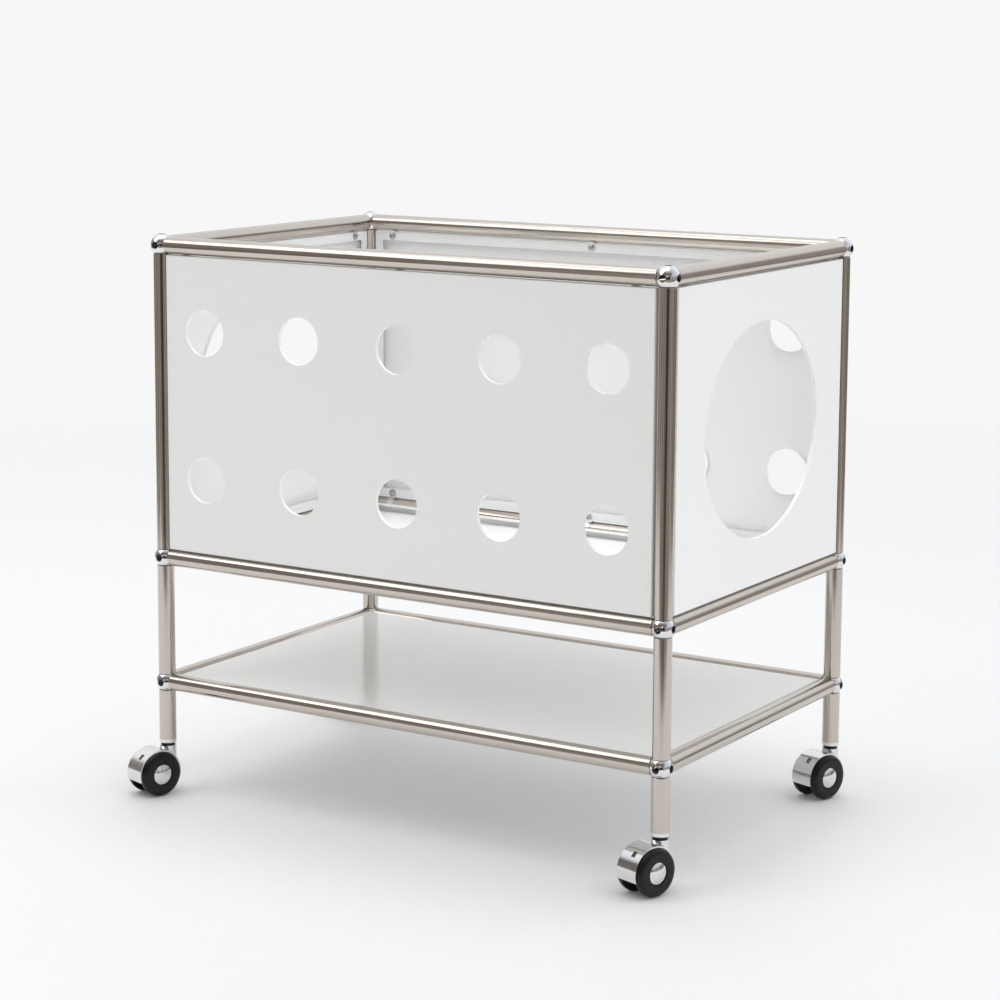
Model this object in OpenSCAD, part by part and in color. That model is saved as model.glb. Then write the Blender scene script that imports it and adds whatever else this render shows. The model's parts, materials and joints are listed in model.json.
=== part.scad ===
// Bar cart on wheels: a tube-and-ball frame with an open-top panelled box, a lower shelf
// and four twin-wheel swivel casters. Millimetres, +Z up. X runs along the long side and
// the front is at -Y. The origin is on the floor at the middle of the overall box.

/* [Frame] */
// Width between the post axes, along X
frame_w = 634; // [420:1:900]
// Depth between the post axes, along Y
frame_d = 400; // [310:1:600]
// Height from the middle rail axes to the top rail axes
box_h = 350; // [270:1:500]
// Height from the lower rail axes to the middle rail axes
bay_h = 143; // [80:1:300]
// Length of leg from the lower rail axes down to the caster collar
leg_drop = 66; // [50:1:160]

/* [Tubes and balls] */
// Outer diameter of every tube
tube_d = 19; // [16:0.2:23]
// Wall thickness of every tube
tube_wall = 1.5; // [1:0.1:2.5]
// How much wider the ball connectors are than the tubes
ball_extra = 6; // [5:0.1:10]
// Diameter of the threaded holes in the balls
ball_hole_d = 8; // [5:0.5:8]
// Depth of the threaded holes, measured from the ball's crown
ball_hole_depth = 7; // [5:0.5:7.5]
// Length of the threaded plug in each tube end
plug_len = 14; // [8:1:24]

/* [Panels] */
// Thickness of the folded sheet
sheet = 1.2; // [0.8:0.1:2]
// How far each panel face stands outside the plane of the tube axes
face_proud = 6.5; // [4:0.1:9]
// Depth of the folded tray from its face to its lip
tray_depth = 9.5; // [7:0.1:14]
// Width of the lip folded back around the tray
lip_w = 10.5; // [10:0.5:16]
// Radius on the outer fold of each panel
fold_r = 1.4; // [1.2:0.1:2]
// Diameter of the round holes in the long panels
hole_d = 52; // [30:1:90]
// Number of columns of round holes
hole_columns = 5; // [2:1:6]
// Height between the two rows of round holes
hole_row_pitch = 163; // [90:1:220]
// Width of the oval hole in the end panels
oval_w = 262; // [120:1:340]
// Height of the oval hole in the end panels
oval_h = 230; // [120:1:300]
// Depth of the turned-in collar around every hole
collar_depth = 4; // [2:0.5:6]

/* [Panel clips] */
// Thickness of the clip strip
clip_t = 0.8; // [0.5:0.1:1.2]
// Width of the clip strip
clip_w = 8; // [6:0.5:12]
// Distance from a post axis to the nearest clip
clip_inset = 36; // [26:1:60]
// Distance from a post axis to the clips of the two flat panels
flat_clip_inset = 117; // [80:1:160]
// Diameter of the clip screws
screw_d = 3.9; // [3:0.1:4.5]
// Diameter of the clip screw heads
screw_head_d = 7; // [5.5:0.1:8]

/* [Casters] */
// Diameter of the caster wheels
wheel_d = 50; // [41:0.5:62]
// Width of one caster wheel
wheel_w = 8.7; // [7.2:0.1:12]
// Gap between the two wheels of a caster
wheel_gap = 20.8; // [20:0.2:30]
// Width of the hood, which covers the inner part of both wheels
hood_w = 27.2; // [22:0.2:34]
// Horizontal distance from the swivel axis to the axle
trail = 19; // [15:0.5:21]
// Direction the casters point, turned about the swivel axis
caster_turn = -18; // [-180:1:180]
// Diameter of the axle
axle_d = 6; // [4:0.5:8]
// Diameter of the swivel stem
stem_d = 8; // [6:0.5:10]
// Height of the swivel neck between the wheel top and the leg
neck_h = 11; // [9:0.5:20]
// Diameter of the domed hub caps
cap_d = 23; // [14:0.2:28]

/* [Hidden] */
$fn = 96;

metal = "#b5ada0";
chrome = "#d8dadc";
steel = "#8f9294";
white = "#eceeee";
black = "#1d1d1f";

// Clearances
ball_gap = 0.05;      // between a tube's cupped end and its ball
rim_gap = 0.15;       // between the chamfered rims of two tubes that meet at a ball, each side
slip_gap = 0.05;      // radial, plugs in tubes and studs or screws in their holes
run_gap = 0.05;       // radial, stem in hood and wheels on axle
side_gap = 0.5;       // between each wheel and the axle boss
hood_gap = 0.5;       // radial, between the wheels and the inside of the hood
washer_gap = 0.3;     // between each swivel washer and the hood below it
cap_gap = 0.4;        // between each hub cap and its wheel
panel_gap = 0.2;      // between a panel's edge and the clip strip around the tube

// Heights above the floor
leg_end_z = wheel_d + neck_h;
lower_z = leg_end_z + leg_drop;
middle_z = lower_z + bay_h;
top_z = middle_z + box_h;

// The casters trail to one side, so the frame stands off the middle of the overall box
trail_dir = [sin(caster_turn), -cos(caster_turn)];
frame_shift = [-trail * trail_dir[0], -trail * trail_dir[1]];

tube_r = tube_d / 2;
tube_in_r = tube_r - tube_wall;
ball_r = (tube_d + ball_extra) / 2;
stud_r = ball_hole_d / 2 - slip_gap;
stud_start = ball_r - ball_hole_depth + 0.2;
plug_start = ball_r + 0.2;

panel_inset = tube_r + clip_t + panel_gap;
lip_z = face_proud - tray_depth;
ear_reach = panel_inset + 5;
ear_r = 4.8;
saddle_arc = [-12, 26];   // angles from the panel's direction, positive on the inner side
hook_arc = [-20, 72];

axle_r = axle_d / 2;
wheel_r = wheel_d / 2;
wheel_in_x = wheel_gap / 2;
wheel_out_x = wheel_in_x + wheel_w;
shoulder_r = 5.5;
rim_t = 4;
web_t = 4;
cap_seat_depth = 2.2;
cap_dome_h = 4;
hood_t = 1.5;
hood_r = wheel_r + hood_gap + hood_t;
hood_cut_z = wheel_r - 6.5;
slot_angle = 48;          // above the axle, on the trailing side
slot_size = [5, 7];
slot_x = 2.5;
socket_r = 9.4;
socket_top_z = wheel_d + 3.6;
socket_bottom_z = wheel_r + 8;
collar_h = 4.3;
collar_r = tube_r + 0.3;
stem_r = stem_d / 2;
stem_bottom_z = socket_bottom_z - 5;
circlip_z = socket_bottom_z - 1.8;
circlip_t = 1.2;
groove_depth = 0.8;

function corner(name) = name == "fl" ? [-1, -1] : name == "fr" ? [1, -1] : name == "bl" ? [-1, 1] : [1, 1];
CORNERS = ["fl", "fr", "bl", "br"];
LEVELS = [lower_z, middle_z, top_z];

module in_frame() {
    translate([frame_shift[0], frame_shift[1], 0]) children();
}

module at_corner(name) {
    c = corner(name);
    translate([c[0] * frame_w / 2, c[1] * frame_d / 2, 0]) children();
}

// ---- Tubes: along Z from one ball centre, with a cupped end at each ball ----

module tube(span, cup_far = true) {
    difference() {
        cylinder(r = tube_r, h = span);
        translate([0, 0, -1]) cylinder(r = tube_in_r, h = span + 2);
        tube_end_cut();
        if (cup_far) translate([0, 0, span]) mirror([0, 0, 1]) tube_end_cut();
    }
}

// Cup for the ball, and a chamfer that keeps the rim clear of the neighbouring tubes
module tube_end_cut() {
    sphere(r = ball_r + ball_gap);
    rotate_extrude()
        polygon([[0, 0], [tube_r + 1, 0], [tube_r + 1, tube_r + 1 + rim_gap], [0, rim_gap]]);
}

module rail_x(side_y, z) {
    color(metal) in_frame() translate([-frame_w / 2, side_y * frame_d / 2, z])
        rotate([0, 90, 0]) tube(frame_w);
}

module rail_y(side_x, z) {
    color(metal) in_frame() translate([side_x * frame_w / 2, frame_d / 2, z])
        rotate([90, 0, 0]) tube(frame_d);
}

module post(name, z, span) {
    color(metal) in_frame() at_corner(name) translate([0, 0, z]) tube(span);
}

module leg(name) {
    color(metal) in_frame() at_corner(name) translate([0, 0, lower_z])
        rotate([180, 0, 0]) tube(leg_drop, false);
}

// ---- Ball connectors with six blind threaded holes each ----

AXES_OUT = [[0, 0, 0], [180, 0, 0], [90, 0, 0], [-90, 0, 0], [0, 90, 0], [0, -90, 0]];

module ball() {
    difference() {
        sphere(r = ball_r);
        for (turn = AXES_OUT)
            rotate(turn) translate([0, 0, ball_r - ball_hole_depth])
                cylinder(d = ball_hole_d, h = ball_hole_depth + 1);
    }
}

module ball_connectors() {
    color(chrome) in_frame() for (name = CORNERS, z = LEVELS)
        at_corner(name) translate([0, 0, z]) ball();
}

// Directions in which tubes leave the ball at a corner and level: inward along X and Y,
// then down from every ball and up from all but the top ones
module at_tube_ends() {
    in_frame() for (name = CORNERS, i = [0, 1, 2]) at_corner(name) translate([0, 0, LEVELS[i]]) {
        rotate([0, -90 * corner(name)[0], 0]) children();
        rotate([90 * corner(name)[1], 0, 0]) children();
        rotate([180, 0, 0]) children();
        if (i < 2) children();
    }
}

module tube_end_plugs() {
    color(steel) {
        at_tube_ends() translate([0, 0, plug_start]) plug(ball_hole_d / 2);
        in_frame() for (name = CORNERS) at_corner(name)
            translate([0, 0, leg_end_z + 0.2]) plug(stem_r + slip_gap);
    }
}

module plug(bore_r) {
    difference() {
        cylinder(r = tube_in_r - slip_gap, h = plug_len);
        translate([0, 0, -1]) cylinder(r = bore_r, h = plug_len + 2);
    }
}

module joining_studs() {
    color(steel) at_tube_ends() translate([0, 0, stud_start])
        cylinder(r = stud_r, h = plug_start + plug_len - stud_start);
}

// ---- Panels: folded trays, face towards +Z, centred on the plane of the tube axes ----

// Cross-section of a tray blank, with its two face corners rounded
module tray_section(w) {
    difference() {
        translate([-w / 2, lip_z]) square([w, tray_depth]);
        for (s = [-1, 1]) translate([s * w / 2, face_proud]) difference() {
            square(2 * fold_r, center = true);
            translate([-s * fold_r, -fold_r]) circle(r = fold_r);
        }
    }
}

module tray(span_x, span_y) {
    w = span_x - 2 * panel_inset;
    h = span_y - 2 * panel_inset;
    difference() {
        intersection() {
            rotate([90, 0, 0]) linear_extrude(h, center = true) tray_section(w);
            rotate([90, 0, 90]) linear_extrude(w, center = true) tray_section(h);
        }
        translate([-w / 2 + sheet, -h / 2 + sheet, lip_z + sheet])
            cube([w - 2 * sheet, h - 2 * sheet, tray_depth - 2 * sheet]);
        translate([-w / 2 + lip_w, -h / 2 + lip_w, lip_z - 1])
            cube([w - 2 * lip_w, h - 2 * lip_w, sheet + 2]);
    }
}

module lip_holes(span_x, span_y, clip_xs) {
    for (x = clip_xs, s = [-1, 1])
        translate([x, s * (span_y / 2 - ear_reach), lip_z - 1])
            cylinder(d = screw_d + 2 * slip_gap, h = sheet + 2);
}

module hole_shape(grow) {
    circle(d = hole_d + 2 * grow);
}

module oval_shape(grow) {
    polygon([for (a = [0:3:357]) [(oval_w / 2 + grow) * cos(a), (oval_h / 2 + grow) * sin(a)]]);
}

module at_hole_grid() {
    pitch = frame_w / hole_columns;
    for (i = [0:hole_columns - 1], s = [-1, 1])
        translate([(i - (hole_columns - 1) / 2) * pitch, s * hole_row_pitch / 2, 0]) children();
}

// Turned-in collar around a hole, from the face inwards
module collar() {
    translate([0, 0, face_proud - collar_depth]) linear_extrude(collar_depth - sheet / 2) children();
}

module cut_through() {
    translate([0, 0, face_proud - collar_depth - 1]) linear_extrude(collar_depth + 2) children();
}

function long_clips() = [-frame_w / 2 + clip_inset, 0, frame_w / 2 - clip_inset];
function end_clips() = [-frame_d / 2 + clip_inset, frame_d / 2 - clip_inset];
function flat_clips() = [-frame_w / 2 + flat_clip_inset, frame_w / 2 - flat_clip_inset];

module long_panel() {
    difference() {
        union() {
            tray(frame_w, box_h);
            at_hole_grid() collar() hole_shape(sheet);
        }
        at_hole_grid() cut_through() hole_shape(0);
        lip_holes(frame_w, box_h, long_clips());
    }
}

module end_panel() {
    difference() {
        union() {
            tray(frame_d, box_h);
            collar() oval_shape(sheet);
        }
        cut_through() oval_shape(0);
        lip_holes(frame_d, box_h, end_clips());
    }
}

module flat_panel() {
    difference() {
        tray(frame_w, frame_d);
        lip_holes(frame_w, frame_d, flat_clips());
    }
}

// Places a panel drawn face up, with its long side along X and its upper edge towards +Y
module place_front() {
    in_frame() translate([0, -frame_d / 2, middle_z + box_h / 2]) rotate([90, 0, 0]) children();
}

module place_back() {
    in_frame() translate([0, frame_d / 2, middle_z + box_h / 2]) rotate([90, 0, 180]) children();
}

module place_left() {
    in_frame() translate([-frame_w / 2, 0, middle_z + box_h / 2]) rotate([90, 0, -90]) children();
}

module place_right() {
    in_frame() translate([frame_w / 2, 0, middle_z + box_h / 2]) rotate([90, 0, 90]) children();
}

module place_floor() {
    in_frame() translate([0, 0, middle_z]) rotate([180, 0, 0]) children();
}

module place_shelf() {
    in_frame() translate([0, 0, lower_z]) children();
}

// ---- Panel clips: a strip around the inside of the tube with a round screw ear ----

// Rail along X, panel towards +Y, inside of the tray towards -Z
module clip(arc) {
    difference() {
        union() {
            rotate([90, 0, 90]) linear_extrude(clip_w, center = true) clip_strip(arc);
            translate([0, 0, lip_z - clip_t]) linear_extrude(clip_t) {
                translate([0, ear_reach]) circle(r = ear_r);
                translate([-clip_w / 2, tube_r]) square([clip_w, ear_reach - tube_r]);
            }
        }
        translate([0, ear_reach, lip_z - clip_t - 1]) cylinder(d = screw_d + 2 * slip_gap, h = clip_t + 2);
        rotate([0, 90, 0]) cylinder(r = tube_r + ball_gap, h = clip_w + ear_r * 2, center = true);
    }
}

// Strip around the tube, kept over the given arc
module clip_strip(arc) {
    cut = 360 - arc[1] + arc[0];
    difference() {
        circle(r = tube_r + clip_t);
        circle(r = tube_r + ball_gap);
        polygon(concat([[0, 0]], [for (i = [0:6])
            3 * tube_r * [cos(-arc[0] + i * cut / 6), sin(-arc[0] + i * cut / 6)]]));
    }
}

module clip_screw() {
    translate([0, ear_reach, lip_z - clip_t]) {
        rotate([180, 0, 0]) pan_head();
        cylinder(d = screw_d, h = clip_t + sheet + 3);
    }
}

// Low domed head with a cross recess
module pan_head() {
    head_r = screw_head_d / 2;
    difference() {
        intersection() {
            cylinder(r = head_r, h = 2.1);
            translate([0, 0, 2.1 - 1.6 * head_r]) sphere(r = 1.6 * head_r);
        }
        for (turn = [0, 90]) rotate([0, 0, turn]) translate([-1.6, -0.35, 1.1]) cube([3.2, 0.7, 2]);
    }
}

// Points along one long edge of a panel, on the axis of the rail beside it
module along_edge(side, span_y, xs) {
    for (x = xs) translate([x, side * span_y / 2, 0]) mirror([0, side > 0 ? 1 : 0, 0]) children();
}

// Clips on the upper (side 1) or lower (side -1) edges of the four walls
module at_wall_clips(side) {
    place_front() along_edge(side, box_h, long_clips()) children();
    place_back() along_edge(side, box_h, long_clips()) children();
    place_left() along_edge(side, box_h, end_clips()) children();
    place_right() along_edge(side, box_h, end_clips()) children();
}

module at_flat_clips() {
    for (side = [-1, 1]) {
        place_floor() along_edge(side, frame_d, flat_clips()) children();
        place_shelf() along_edge(side, frame_d, flat_clips()) children();
    }
}

module panel_clips() {
    color(chrome) {
        at_wall_clips(1) clip(saddle_arc);
        at_wall_clips(-1) clip(hook_arc);
        at_flat_clips() clip(saddle_arc);
    }
}

module clip_screws() {
    color(steel) {
        at_wall_clips(1) clip_screw();
        at_wall_clips(-1) clip_screw();
        at_flat_clips() clip_screw();
    }
}

// ---- Casters: swivel axis on Z, axle along X, trailing towards -Y, before turning ----

module at_caster(name) {
    in_frame() at_corner(name) rotate([0, 0, caster_turn]) children();
}

module at_axle() {
    translate([0, -trail, wheel_r]) rotate([0, 90, 0]) children();
}

module caster_stems() {
    color(chrome) for (name = CORNERS) at_caster(name) difference() {
        union() {
            translate([0, 0, leg_end_z - collar_h]) stem_collar();
            translate([0, 0, stem_bottom_z])
                cylinder(r = stem_r, h = leg_end_z + plug_len - stem_bottom_z);
        }
        translate([0, 0, circlip_z]) ring(stem_r - groove_depth, stem_r + 1, circlip_t + 0.2);
    }
}

module swivel_washers() {
    color(black) for (name = CORNERS) at_caster(name) translate([0, 0, socket_top_z + washer_gap])
        ring(stem_r + slip_gap, socket_r - 1.6, leg_end_z - collar_h - socket_top_z - washer_gap);
}

module stem_collar() {
    rotate_extrude() {
        translate([0, 0.8]) square([collar_r, collar_h - 0.8]);
        square([collar_r - 0.8, 1]);
        translate([collar_r - 0.8, 0.8]) circle(r = 0.8);
    }
}

module ring(r_in, r_out, h) {
    difference() {
        cylinder(r = r_out, h = h);
        translate([0, 0, -1]) cylinder(r = r_in, h = h + 2);
    }
}

module stem_circlips() {
    color(steel) for (name = CORNERS) at_caster(name)
        translate([0, 0, circlip_z + 0.1]) ring(stem_r - groove_depth + 0.02, stem_r + 1.8, circlip_t);
}

module caster_hood(name) {
    color(chrome) at_caster(name) difference() {
        union() {
            hood_shell();
            translate([0, 0, stem_bottom_z - 3])
                cylinder(r = socket_r, h = socket_top_z - stem_bottom_z + 3);
        }
        translate([0, 0, socket_bottom_z - 1])
            cylinder(r = stem_r + run_gap, h = socket_top_z - socket_bottom_z + 2);
        translate([0, 0, stem_bottom_z - 4])
            cylinder(r = stem_r + 3, h = socket_bottom_z - stem_bottom_z + 4);
        at_axle() cylinder(r = axle_r + run_gap, h = hood_w + 2, center = true);
    }
}

// Drum over the inner part of the wheels, with a flat lower edge, a middle web and an axle boss
module hood_shell() {
    difference() {
        at_axle() union() {
            difference() {
                cylinder(r = hood_r, h = hood_w, center = true);
                cylinder(r = hood_r - hood_t, h = hood_w + 2, center = true);
            }
            cylinder(r = hood_r - hood_t / 2, h = 3, center = true);
            cylinder(r = axle_r + 3.5, h = wheel_gap - 2 * side_gap, center = true);
        }
        translate([-hood_w, -trail - wheel_d, hood_cut_z - wheel_d])
            cube([2 * hood_w, 2 * wheel_d, wheel_d]);
        hood_slot();
    }
}

// Small slot through the back of the drum
module hood_slot() {
    translate([slot_x, -trail, wheel_r]) rotate([90 - slot_angle, 0, 0])
        translate([-slot_size[0] / 2, -slot_size[1] / 2, hood_r - 2 * hood_t])
            cube([slot_size[0], slot_size[1], 3 * hood_t]);
}

module caster_axle(name) {
    color(steel) at_caster(name) at_axle()
        cylinder(r = axle_r, h = 2 * (wheel_out_x - 0.6), center = true);
}

module caster_wheel(name, side) {
    color(black) at_caster(name) at_axle() mirror([0, 0, side < 0 ? 1 : 0])
        translate([0, 0, wheel_in_x]) wheel();
}

// Wheel from its inner face at Z = 0 to its outer face, with a rounded tread,
// a hollow inner side and a seat for the hub cap
module wheel() {
    seat_r = cap_d / 2 + cap_gap;
    difference() {
        rotate_extrude() wheel_section();
        translate([0, 0, -1]) cylinder(r = axle_r + run_gap, h = wheel_w + 2);
        translate([0, 0, wheel_w - cap_seat_depth]) cylinder(r = seat_r, h = cap_seat_depth + 1);
        translate([0, 0, -1]) ring(axle_r + 3, wheel_r - rim_t, wheel_w - web_t + 1);
    }
}

module wheel_section() {
    tread_w = wheel_w - shoulder_r;
    square([wheel_r - shoulder_r, wheel_w]);
    translate([0, 1]) square([wheel_r, tread_w - 1]);
    square([wheel_r - 1, tread_w]);
    translate([wheel_r - 1, 1]) circle(r = 1);
    translate([wheel_r - shoulder_r, tread_w]) intersection() {
        circle(r = shoulder_r);
        square(shoulder_r);
    }
}

module caster_hub_caps(name) {
    color(chrome) at_caster(name) at_axle() for (s = [0, 1]) mirror([0, 0, s])
        translate([0, 0, wheel_out_x - cap_seat_depth + cap_gap]) hub_cap();
}

// Domed cap with a socket for the end of the axle
module hub_cap() {
    cap_r = cap_d / 2;
    rim_h = 1;
    dome = cap_dome_h - rim_h;
    dome_r = (cap_r * cap_r + dome * dome) / (2 * dome);
    difference() {
        intersection() {
            cylinder(r = cap_r, h = cap_dome_h);
            translate([0, 0, cap_dome_h - dome_r]) sphere(r = dome_r);
        }
        translate([0, 0, -1]) cylinder(r = axle_r + slip_gap, h = 1 + cap_seat_depth - cap_gap - 0.5);
    }
}

rail_x(-1, top_z);  // top_rail_front
rail_x(1, top_z);  // top_rail_back
rail_y(-1, top_z);  // top_rail_left
rail_y(1, top_z);  // top_rail_right
rail_x(-1, middle_z);  // middle_rail_front
rail_x(1, middle_z);  // middle_rail_back
rail_y(-1, middle_z);  // middle_rail_left
rail_y(1, middle_z);  // middle_rail_right
rail_x(-1, lower_z);  // lower_rail_front
rail_x(1, lower_z);  // lower_rail_back
rail_y(-1, lower_z);  // lower_rail_left
rail_y(1, lower_z);  // lower_rail_right
post("fl", middle_z, box_h);  // upper_post_fl
post("fr", middle_z, box_h);  // upper_post_fr
post("bl", middle_z, box_h);  // upper_post_bl
post("br", middle_z, box_h);  // upper_post_br
post("fl", lower_z, bay_h);  // lower_post_fl
post("fr", lower_z, bay_h);  // lower_post_fr
post("bl", lower_z, bay_h);  // lower_post_bl
post("br", lower_z, bay_h);  // lower_post_br
leg("fl");  // leg_fl
leg("fr");  // leg_fr
leg("bl");  // leg_bl
leg("br");  // leg_br
ball_connectors();
tube_end_plugs();
joining_studs();
color(white) place_front() long_panel();  // front_panel
color(white) place_back() long_panel();  // back_panel
color(white) place_left() end_panel();  // left_panel
color(white) place_right() end_panel();  // right_panel
color(white) place_floor() flat_panel();  // box_floor_panel
color(white) place_shelf() flat_panel();  // lower_shelf_panel
panel_clips();
clip_screws();
caster_hood("fl");  // caster_fl_hood
caster_axle("fl");  // caster_fl_axle
caster_hub_caps("fl");  // caster_fl_hub_caps
caster_wheel("fl", -1);  // caster_fl_left_wheel
caster_wheel("fl", 1);  // caster_fl_right_wheel
caster_hood("fr");  // caster_fr_hood
caster_axle("fr");  // caster_fr_axle
caster_hub_caps("fr");  // caster_fr_hub_caps
caster_wheel("fr", -1);  // caster_fr_left_wheel
caster_wheel("fr", 1);  // caster_fr_right_wheel
caster_hood("bl");  // caster_bl_hood
caster_axle("bl");  // caster_bl_axle
caster_hub_caps("bl");  // caster_bl_hub_caps
caster_wheel("bl", -1);  // caster_bl_left_wheel
caster_wheel("bl", 1);  // caster_bl_right_wheel
caster_hood("br");  // caster_br_hood
caster_axle("br");  // caster_br_axle
caster_hub_caps("br");  // caster_br_hub_caps
caster_wheel("br", -1);  // caster_br_left_wheel
caster_wheel("br", 1);  // caster_br_right_wheel
caster_stems();
swivel_washers();
stem_circlips();
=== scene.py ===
import json
import math

import bmesh
import bpy
from mathutils import Matrix, Vector


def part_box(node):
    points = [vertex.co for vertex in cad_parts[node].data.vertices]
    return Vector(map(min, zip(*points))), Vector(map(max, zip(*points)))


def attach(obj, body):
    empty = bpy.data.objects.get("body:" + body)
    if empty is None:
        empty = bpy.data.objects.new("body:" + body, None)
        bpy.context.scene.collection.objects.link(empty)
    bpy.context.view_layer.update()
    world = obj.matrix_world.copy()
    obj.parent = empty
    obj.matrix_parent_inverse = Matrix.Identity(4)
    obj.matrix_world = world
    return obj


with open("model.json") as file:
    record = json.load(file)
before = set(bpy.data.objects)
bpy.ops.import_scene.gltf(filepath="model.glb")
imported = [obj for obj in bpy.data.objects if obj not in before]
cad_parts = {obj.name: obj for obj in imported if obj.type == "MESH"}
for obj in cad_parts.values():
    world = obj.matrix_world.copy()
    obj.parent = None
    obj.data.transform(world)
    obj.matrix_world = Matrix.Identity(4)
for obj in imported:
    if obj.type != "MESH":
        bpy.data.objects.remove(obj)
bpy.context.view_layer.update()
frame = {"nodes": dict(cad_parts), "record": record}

scene = bpy.context.scene
nodes = frame["nodes"]
MM = 0.001


# ---- Camera: the view of the whole cart from its front right corner ----

CAMERA_PLACE = Vector((1.5549, -2.4529, 0.876))
CAMERA_AZIMUTH = math.radians(32.11)
CAMERA_TILT = math.radians(-8.33)
CAMERA_ROLL = math.radians(0.324)
CAMERA_LENS = 95.5
CAMERA_SENSOR = 36.0
CAMERA_SHIFT_UP = -0.10
CAMERA_NEAREST = 0.05
CAMERA_FARTHEST = 200.0

# Level directions of the picture: from the cart out to the camera, and to the right.
OUT = (math.sin(CAMERA_AZIMUTH), -math.cos(CAMERA_AZIMUTH), 0)
RIGHT = (math.cos(CAMERA_AZIMUTH), math.sin(CAMERA_AZIMUTH), 0)


def make_camera():
    data = bpy.data.cameras.new("camera")
    data.lens = CAMERA_LENS
    data.sensor_width = CAMERA_SENSOR
    data.shift_y = CAMERA_SHIFT_UP
    data.dof.use_dof = False
    data.clip_start = CAMERA_NEAREST
    data.clip_end = CAMERA_FARTHEST
    camera = bpy.data.objects.new("camera", data)
    scene.collection.objects.link(camera)
    right = Vector(RIGHT)
    ahead = -Vector(OUT) * math.cos(CAMERA_TILT) + Vector((0, 0, math.sin(CAMERA_TILT)))
    up = right.cross(ahead)
    side = right * math.cos(CAMERA_ROLL) + up * math.sin(CAMERA_ROLL)
    crown = up * math.cos(CAMERA_ROLL) - right * math.sin(CAMERA_ROLL)
    turn = Matrix((side, crown, -ahead)).transposed().to_4x4()
    camera.matrix_world = Matrix.Translation(CAMERA_PLACE) @ turn
    scene.camera = camera


# ---- Node helpers ----

class Shader:
    """A material or world node tree that is wired up by short calls."""

    def __init__(self, owner):
        owner.use_nodes = True
        self.tree = owner.node_tree
        self.tree.nodes.clear()

    def node(self, kind, settings=None, **inputs):
        made = self.tree.nodes.new(kind)
        for name, value in (settings or {}).items():
            setattr(made, name, value)
        for name, value in inputs.items():
            self.put(made.inputs[name.replace("_", " ")], value)
        return made

    def put(self, socket, value):
        if isinstance(value, bpy.types.NodeSocket):
            self.tree.links.new(value, socket)
        else:
            socket.default_value = value

    def math(self, operation, a, b=0.0):
        made = self.node("ShaderNodeMath", {"operation": operation})
        self.put(made.inputs[0], a)
        self.put(made.inputs[1], b)
        return made.outputs[0]

    def blend(self, factor, a, b):
        made = self.node("ShaderNodeMix", {"data_type": "RGBA"})
        self.put(made.inputs[0], factor)
        self.put(made.inputs[6], a)
        self.put(made.inputs[7], b)
        return made.outputs[2]

    def span(self, value, low, high, to_low, to_high):
        made = self.node("ShaderNodeMapRange", Value=value)
        made.inputs["From Min"].default_value = low
        made.inputs["From Max"].default_value = high
        made.inputs["To Min"].default_value = to_low
        made.inputs["To Max"].default_value = to_high
        return made.outputs[0]

    def ramp(self, value, low, high):
        """0 at low and 1 at high."""
        return self.span(value, low, high, 0.0, 1.0)

    def along(self, vector, direction):
        made = self.node("ShaderNodeVectorMath", {"operation": "DOT_PRODUCT"})
        self.put(made.inputs[0], vector)
        made.inputs[1].default_value = direction
        return made.outputs["Value"]

    def place(self, scale=(1, 1, 1)):
        coords = self.node("ShaderNodeTexCoord").outputs["Object"]
        return self.node("ShaderNodeMapping", Vector=coords, Scale=scale).outputs[0]

    def noise(self, per_metre, detail, stretch=(1, 1, 1), rough=0.5):
        made = self.node("ShaderNodeTexNoise", Vector=self.place(stretch),
                         Scale=per_metre, Detail=detail, Roughness=rough)
        return made.outputs["Fac"]

    def bump(self, height, depth, strength):
        made = self.node("ShaderNodeBump", Height=height, Distance=depth, Strength=strength)
        return made.outputs[0]

    def finish(self, colour, roughness, normal, **constants):
        made = self.node("ShaderNodeBsdfPrincipled", None, Base_Color=colour, Roughness=roughness)
        for name, value in constants.items():
            made.inputs[name.replace("_", " ")].default_value = value
        self.put(made.inputs["Normal"], normal)
        out = self.node("ShaderNodeOutputMaterial")
        self.tree.links.new(made.outputs[0], out.inputs["Surface"])


def material(name):
    made = bpy.data.materials.new(name)
    return made, Shader(made)


def grey(value):
    return (value, value, value, 1)


# ---- Materials ----

NICKEL = (0.555, 0.508, 0.455, 1), (0.615, 0.568, 0.512, 1)
ZINC = (0.42, 0.42, 0.43, 1), (0.60, 0.60, 0.60, 1)
SATIN_WHITE = (0.885, 0.887, 0.877, 1), (0.905, 0.905, 0.895, 1)
GLOSS_WHITE = (0.89, 0.89, 0.88, 1), (0.91, 0.91, 0.90, 1)
NYLON_BLACK, TREAD_DUST = (0.0035, 0.0035, 0.0038, 1), (0.012, 0.0115, 0.0105, 1)
# Thread tones are painted near black: the darkness stands for the shade deep in the ball holes, and
# the spread between the two tones is oil.
OIL_AND_BORE_SHADE_TONES = (0.035, 0.033, 0.031, 1), (0.12, 0.115, 0.11, 1)

# Metal grain is this deep. Coats and mouldings are two to three times as deep.
GRAIN_DEPTH = 0.02 * MM


def tube_metal(axis):
    """Satin nickel tube, with the fine draw lines running along the tube."""
    made, s = material("satin_nickel_tube_" + axis)
    along = {"x": (0.02, 1, 1), "y": (1, 0.02, 1), "z": (1, 1, 0.02)}[axis]
    lines = s.noise(1400, 2, along)
    patches = s.noise(18, 3)
    fine = s.span(lines, 0.3, 0.7, 0.11, 0.18)
    broad = s.span(patches, 0.3, 0.7, -0.02, 0.03)
    bump = s.bump(lines, GRAIN_DEPTH, 0.35)
    s.finish(s.blend(patches, *NICKEL), s.math("ADD", fine, broad), bump, Metallic=1.0)
    return made


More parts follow.
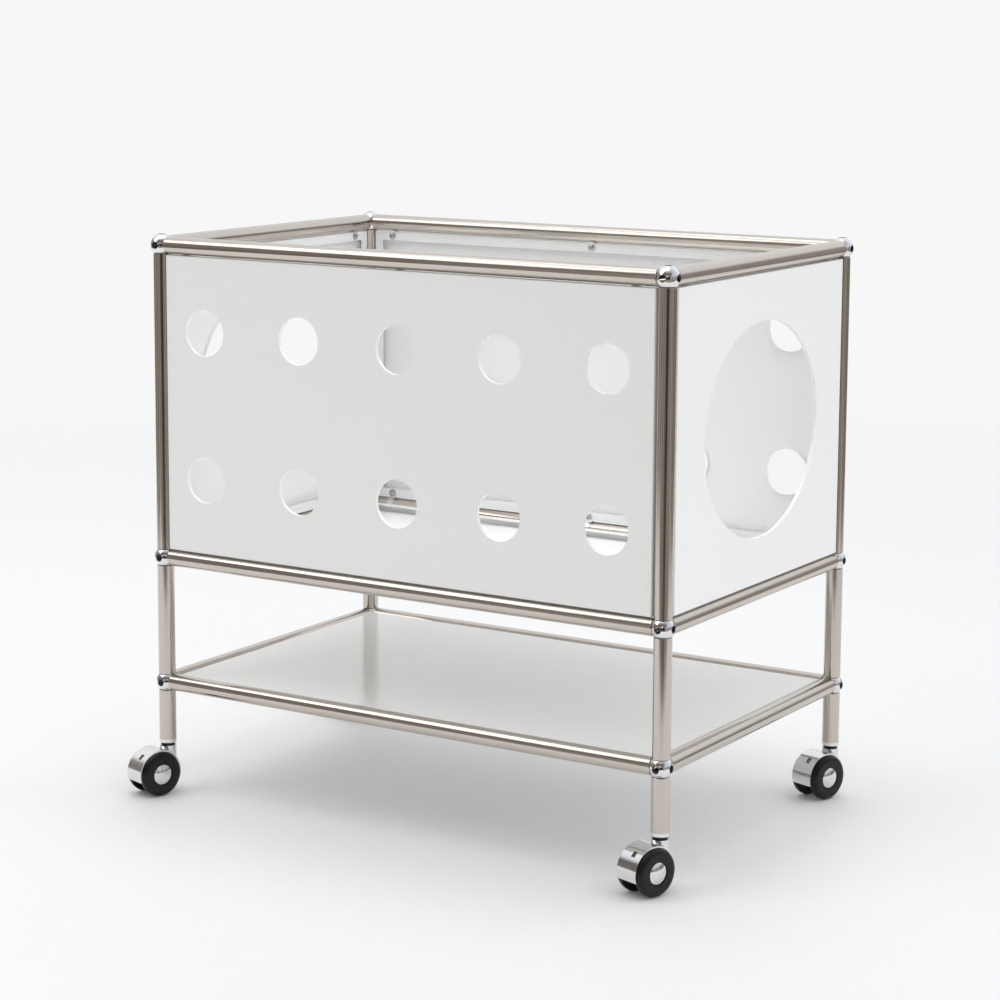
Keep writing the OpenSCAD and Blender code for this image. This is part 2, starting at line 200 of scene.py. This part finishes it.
def bright_chrome(name, tone, rough, ripple):
    """Plated and polished metal, with faint wiping marks and a slight ripple."""
    made, s = material(name)
    smears = s.noise(160, 4, (1, 1, 0.4))
    colour = s.blend(smears, grey(tone * 0.97), grey(tone))
    roughness = s.span(smears, 0.35, 0.75, rough, rough + 0.05)
    s.finish(colour, roughness, s.bump(s.noise(420, 2), GRAIN_DEPTH, ripple), Metallic=1.0)
    return made


def plain_steel():
    """Zinc-plated steel of the screws, pins and plugs."""
    made, s = material("zinc_plated_steel")
    bloom = s.noise(350, 4)
    roughness = s.span(bloom, 0.3, 0.7, 0.28, 0.42)
    bump = s.bump(s.noise(2500, 2), GRAIN_DEPTH, 0.3)
    s.finish(s.blend(bloom, *ZINC), roughness, bump, Metallic=1.0)
    return made


def powder_coat():
    """Satin white powder coat on sheet steel, with its fine orange peel."""
    made, s = material("white_powder_coat")
    peel = s.noise(900, 2)
    cloud = s.noise(5, 2)
    roughness = s.span(peel, 0.3, 0.7, 0.36, 0.46)
    bump = s.bump(peel, 3 * GRAIN_DEPTH, 0.25)
    s.finish(s.blend(cloud, *SATIN_WHITE), roughness, bump, Metallic=0.0, IOR=1.48)
    return made


def gloss_coat():
    """Gloss white coat of the lower shelf, with a long soft ripple and light rubbing."""
    made, s = material("white_gloss_coat")
    ripple = s.noise(120, 2)
    rubbing = s.noise(26, 5, rough=0.6)
    roughness = s.span(rubbing, 0.35, 0.7, 0.10, 0.17)
    bump = s.bump(ripple, 2.5 * GRAIN_DEPTH, 0.12)
    s.finish(s.blend(rubbing, *GLOSS_WHITE), roughness, bump, Metallic=0.0, IOR=1.52)
    return made


def wheel_black():
    """Black nylon wheels, with moulding grain and a dusty tread."""
    made, s = material("black_nylon_wheel")
    grain = s.noise(1800, 2)
    dust = s.noise(90, 5, rough=0.65)
    colour = s.blend(s.span(dust, 0.45, 0.8, 0.0, 0.5), NYLON_BLACK, TREAD_DUST)
    fine = s.span(grain, 0.3, 0.7, 0.24, 0.32)
    dusty = s.span(dust, 0.4, 0.8, 0.0, 0.12)
    bump = s.bump(grain, 2 * GRAIN_DEPTH, 0.35)
    s.finish(colour, s.math("ADD", fine, dusty), bump, Metallic=0.0, IOR=1.38)
    return made


def thread_steel():
    """Thread steel of the ball holes, painted near black as the shade deep in the bores, with a
    little oil varying its tone at random.
    """
    made, s = material("thread_steel_with_painted_bore_shade")
    oil = s.noise(700, 3)
    roughness = s.span(oil, 0.3, 0.7, 0.30, 0.45)
    s.finish(s.blend(oil, *OIL_AND_BORE_SHADE_TONES), roughness, s.bump(oil, GRAIN_DEPTH, 0.3), Metallic=1.0)
    return made


def tube_axis(name):
    """The axis that a tube runs along: rails lie along X or Y, and posts and legs stand."""
    if name.endswith(("rail_front", "rail_back")):
        return "x"
    if name.endswith(("rail_left", "rail_right")):
        return "y"
    return "z"


def dress_nodes():
    tubes = {axis: tube_metal(axis) for axis in "xyz"}
    looks = {
        "ball_chrome": bright_chrome("polished_ball_chrome", 0.80, 0.035, 0.02),
        "clip_chrome": bright_chrome("polished_clip_chrome", 0.74, 0.08, 0.05),
        "caster_chrome": bright_chrome("plated_caster_chrome", 0.78, 0.07, 0.08),
        "plain_steel": plain_steel(),
        "panel_white": powder_coat(),
        "shelf_white": gloss_coat(),
        "wheel_black": wheel_black(),
    }
    for part in frame["record"]["subparts"]:
        name, slot = part["node"], part["material_slot"]
        look = tubes[tube_axis(name)] if slot == "tube_metal" else looks[slot]
        node = nodes[name]
        node.data.materials.clear()
        node.data.materials.append(look)


# ---- Threads in the open holes of the ball connectors ----

BALL_RADIUS = 12.5 * MM
HOLE_RADIUS = 4.0 * MM
HOLE_FLOOR = 5.5 * MM
HOLE_MOUTH = 11.7 * MM
THREAD_FIT = 0.04 * MM
THREAD_WALL = 0.15 * MM
THREAD_PITCH = 1.25 * MM
THREAD_DEPTH = 0.55 * MM
THREAD_SEGMENTS = 32
ROWS_PER_TURN = 8
SEAT_THICKNESS = 0.5 * MM
SEAT_CONE = 0.3 * MM


def thread_rings():
    """Rings of one threaded cup on the Z axis, as radius, height and thread depth.

    They go from the cup's outer wall over the rim of its mouth and down inside to its seat.
    """
    outer = HOLE_RADIUS - THREAD_FIT
    inner = outer - THREAD_WALL
    floor = HOLE_FLOOR + THREAD_FIT
    seat = floor + SEAT_THICKNESS
    rings = [(outer, floor, 0), (outer, HOLE_MOUTH, 0), (inner, HOLE_MOUTH, 0)]
    rows = int((HOLE_MOUTH - seat) / THREAD_PITCH * ROWS_PER_TURN)
    for row in range(1, rows):
        height = HOLE_MOUTH - row * THREAD_PITCH / ROWS_PER_TURN
        rings.append((inner, height, THREAD_DEPTH))
    rings.append((inner - THREAD_DEPTH, seat, 0))
    return rings, floor, seat


def add_thread(mesh, centre, axis):
    """Adds one threaded cup, whose crest climbs by one pitch in every turn."""
    rings, floor, seat = thread_rings()
    turn = axis.to_track_quat("Z", "Y").to_matrix()
    made = []
    for radius, height, depth in rings:
        ring = []
        for i in range(THREAD_SEGMENTS):
            share = i / THREAD_SEGMENTS
            phase = (height / THREAD_PITCH + share) % 1
            reach = radius - depth * (1 - abs(2 * phase - 1))
            angle = 2 * math.pi * share
            spot = Vector((reach * math.cos(angle), reach * math.sin(angle), height))
            ring.append(mesh.verts.new(centre + turn @ spot))
        made.append(ring)
    for low, high in zip(made, made[1:]):
        for i in range(THREAD_SEGMENTS):
            j = (i + 1) % THREAD_SEGMENTS
            mesh.faces.new((low[i], low[j], high[j], high[i]))
    tip = mesh.verts.new(centre + turn @ Vector((0, 0, seat - SEAT_CONE)))
    under = mesh.verts.new(centre + turn @ Vector((0, 0, floor)))
    for i in range(THREAD_SEGMENTS):
        j = (i + 1) % THREAD_SEGMENTS
        mesh.faces.new((made[-1][i], made[-1][j], tip))
        mesh.faces.new((made[0][j], made[0][i], under))


def make_ball_threads():
    """Threads in every ball hole that no tube is screwed to: two outward, and upward at the top."""
    low, high = (Vector(corner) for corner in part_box("ball_connectors"))
    low += Vector((1, 1, 1)) * BALL_RADIUS
    high -= Vector((1, 1, 1)) * BALL_RADIUS
    rail_low, rail_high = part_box("middle_rail_front")
    middle = (rail_low[2] + rail_high[2]) / 2
    mesh = bmesh.new()
    for x, out_x in ((low.x, -1), (high.x, 1)):
        for y, out_y in ((low.y, -1), (high.y, 1)):
            for z in (low.z, middle, high.z):
                centre = Vector((x, y, z))
                add_thread(mesh, centre, Vector((out_x, 0, 0)))
                add_thread(mesh, centre, Vector((0, out_y, 0)))
            add_thread(mesh, centre, Vector((0, 0, 1)))
    bmesh.ops.recalc_face_normals(mesh, faces=mesh.faces)
    data = bpy.data.meshes.new("ball_hole_threads")
    mesh.to_mesh(data)
    mesh.free()
    threads = bpy.data.objects.new("ball_hole_threads", data)
    scene.collection.objects.link(threads)
    data.materials.append(thread_steel())
    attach(threads, "root")


# ---- Studio floor ----

FLOOR_RADIUS = 3.2
FADE_FROM = 0.55 * FLOOR_RADIUS
FADE_TO = 0.98 * FLOOR_RADIUS
PAPER_FRONT = 1.05
PAPER_SIDE = 1.8
FRONT_SOFTNESS = 0.1
SIDE_SOFTNESS = 0.2


def paper_ends(s, spot):
    """1 past the end of the paper, in front of the cart or beside it."""
    ahead = s.along(spot, OUT)
    front = s.ramp(ahead, PAPER_FRONT - FRONT_SOFTNESS, PAPER_FRONT + FRONT_SOFTNESS)
    sideways = s.math("ABSOLUTE", s.along(spot, RIGHT))
    side = s.ramp(sideways, PAPER_SIDE - SIDE_SOFTNESS, PAPER_SIDE + SIDE_SOFTNESS)
    return s.math("MAXIMUM", front, side)


def make_floor():
    """White paper that fades into the backdrop. Mirrors see where it ends: near at the front."""
    bpy.ops.mesh.primitive_circle_add(vertices=96, radius=FLOOR_RADIUS, fill_type="NGON")
    floor = bpy.context.object
    floor.name = "studio_floor"
    made, s = material("studio_floor")
    spot = s.place()
    distance = s.node("ShaderNodeVectorMath", {"operation": "LENGTH"})
    s.put(distance.inputs[0], spot)
    fade = s.ramp(distance.outputs["Value"], FADE_FROM, FADE_TO)
    mirrored = s.node("ShaderNodeLightPath").outputs["Is Glossy Ray"]
    fade = s.math("MAXIMUM", fade, s.math("MULTIPLY", mirrored, paper_ends(s, spot)))
    paper = s.blend(s.noise(40, 3), grey(0.91), grey(0.93))
    matt = s.node("ShaderNodeBsdfPrincipled", None, Base_Color=paper, Roughness=0.65)
    clear = s.node("ShaderNodeBsdfTransparent")
    mixed = s.node("ShaderNodeMixShader", None, Fac=fade)
    s.tree.links.new(matt.outputs[0], mixed.inputs[1])
    s.tree.links.new(clear.outputs[0], mixed.inputs[2])
    out = s.node("ShaderNodeOutputMaterial")
    s.tree.links.new(mixed.outputs[0], out.inputs["Surface"])
    floor.data.materials.append(made)


# ---- Lights ----

# The middle of the open box in plan, which the box light hangs over.
BOX_MIDDLE_X = 0.006
BOX_MIDDLE_Y = 0.02


def soft_light(name, place, aim, width, height, power, colour=(1, 1, 1)):
    data = bpy.data.lights.new(name, "AREA")
    data.shape = "RECTANGLE"
    data.size = width
    data.size_y = height
    data.energy = power
    data.color = colour
    light = bpy.data.objects.new(name, data)
    light.location = place
    light.rotation_euler = (Vector(aim) - Vector(place)).to_track_quat("-Z", "Y").to_euler()
    scene.collection.objects.link(light)
    return light


def make_lights():
    """A wide light overhead, a key light at the front left, one over the box and a small lamp."""
    soft_light("overhead", place=(-0.6, -0.4, 4.6), aim=(0, 0, 0.3),
               width=3.2, height=3.2, power=30, colour=(0.96, 0.99, 1.0))
    soft_light("key", place=(-1.6, -1.5, 2.5), aim=(0, 0, 0.45),
               width=1.5, height=1.5, power=14, colour=(1.0, 0.99, 0.97))
    box = soft_light("box_light", place=(BOX_MIDDLE_X, BOX_MIDDLE_Y, 1.15),
                     aim=(BOX_MIDDLE_X, BOX_MIDDLE_Y, 0.3),
                     width=0.45, height=0.26, power=0.42, colour=(0.93, 0.98, 1.0))
    box.data.spread = math.radians(60)
    soft_light("small_lamp", place=(1.45, -2.6, 1.35), aim=(0, 0, 0.5),
               width=0.10, height=0.10, power=0.4)


# ---- Surroundings ----

CEILING_WHITE = (0.98, 1.0, 1.03, 1)
CEILING_DIM = (0.19, 0.16, 0.155, 1)
CEILING_HIGH = (0.62, 0.63, 0.65, 1)
CEILING_RIGHT = (0.62, 0.70, 0.80, 1)
WALL_TONES = (0.17, 0.15, 0.135, 1), (0.46, 0.43, 0.40, 1)
WALL_BY_CAMERA = (0.05, 0.042, 0.04, 1)
BOARDS_DARK = (0.15, 0.125, 0.10, 1)
BOARDS_NEAR = (0.42, 0.33, 0.20, 1)
SOFT_AT_BACK = (1.09, 1.105, 1.125, 1)
SOFT_AT_FRONT = (0.385, 0.375, 0.365, 1)
SOFT_DIRECTION = (-0.6, -0.8, 0)
BACKDROP = grey(0.93)


def mirrored_ceiling(s, height, out, right):
    """White above the backdrop, and dimmer toward the camera."""
    front = s.blend(s.ramp(height, 0.70, 0.90), CEILING_DIM, CEILING_HIGH)
    front = s.blend(s.ramp(right, 0.35, 0.60), front, CEILING_RIGHT)
    return s.blend(s.ramp(out, -0.3, 0.2), CEILING_WHITE, front)


def mirrored_wall(s, way, out):
    """A streaky dim wall, darkest round the camera and white behind the cart."""
    streaks = s.node("ShaderNodeTexNoise", Scale=3.2, Detail=3.0,
                     Vector=s.node("ShaderNodeMapping", Vector=way, Scale=(1, 1, 0.3)).outputs[0])
    wall = s.blend(s.ramp(streaks.outputs["Fac"], 0.38, 0.62), *WALL_TONES)
    wall = s.blend(s.ramp(out, 0.93, 0.975), wall, WALL_BY_CAMERA)
    return s.blend(s.ramp(out, -0.72, -0.80), wall, grey(0.88))


def mirrored_room(s, way):
    """The room that mirrors see: ceiling, wall and, past the end of the paper, brown boards."""
    height = s.node("ShaderNodeSeparateXYZ", Vector=way).outputs["Z"]
    out = s.along(way, OUT)
    right = s.along(way, RIGHT)
    wall = mirrored_wall(s, way, out)
    wall_top = s.span(right, -0.2, 0.6, 0.42, 0.20)
    over = s.ramp(s.math("SUBTRACT", height, wall_top), -0.06, 0.10)
    upper = s.blend(over, wall, mirrored_ceiling(s, height, out, right))
    near = s.math("MULTIPLY", s.ramp(out, 0.55, 0.75), s.ramp(height, -0.26, -0.40))
    boards = s.blend(near, BOARDS_DARK, BOARDS_NEAR)
    lower = s.blend(s.ramp(height, -0.22, -0.34), wall, boards)
    return s.blend(s.ramp(height, -0.06, 0.0), lower, upper)


def make_surroundings():
    """A soft white studio for the light, a room for the mirrors and a plain backdrop."""
    world = bpy.data.worlds.new("studio")
    scene.world = world
    world.cycles.sampling_method = "NONE"
    s = Shader(world)
    way = s.node("ShaderNodeTexCoord").outputs["Generated"]
    to_front = s.ramp(s.along(way, SOFT_DIRECTION), -0.3, 0.9)
    soft = s.blend(to_front, SOFT_AT_BACK, SOFT_AT_FRONT)
    rays = s.node("ShaderNodeLightPath")
    shown = s.blend(rays.outputs["Is Glossy Ray"], soft, mirrored_room(s, way))
    shown = s.blend(rays.outputs["Is Camera Ray"], shown, BACKDROP)
    back = s.node("ShaderNodeBackground", Color=shown, Strength=1.0)
    end = s.node("ShaderNodeOutputWorld")
    s.tree.links.new(back.outputs[0], end.inputs["Surface"])


make_camera()
dress_nodes()
make_ball_threads()
make_floor()
make_lights()
make_surroundings()
scene.view_settings.view_transform = "Standard"
scene.view_settings.look = "None"
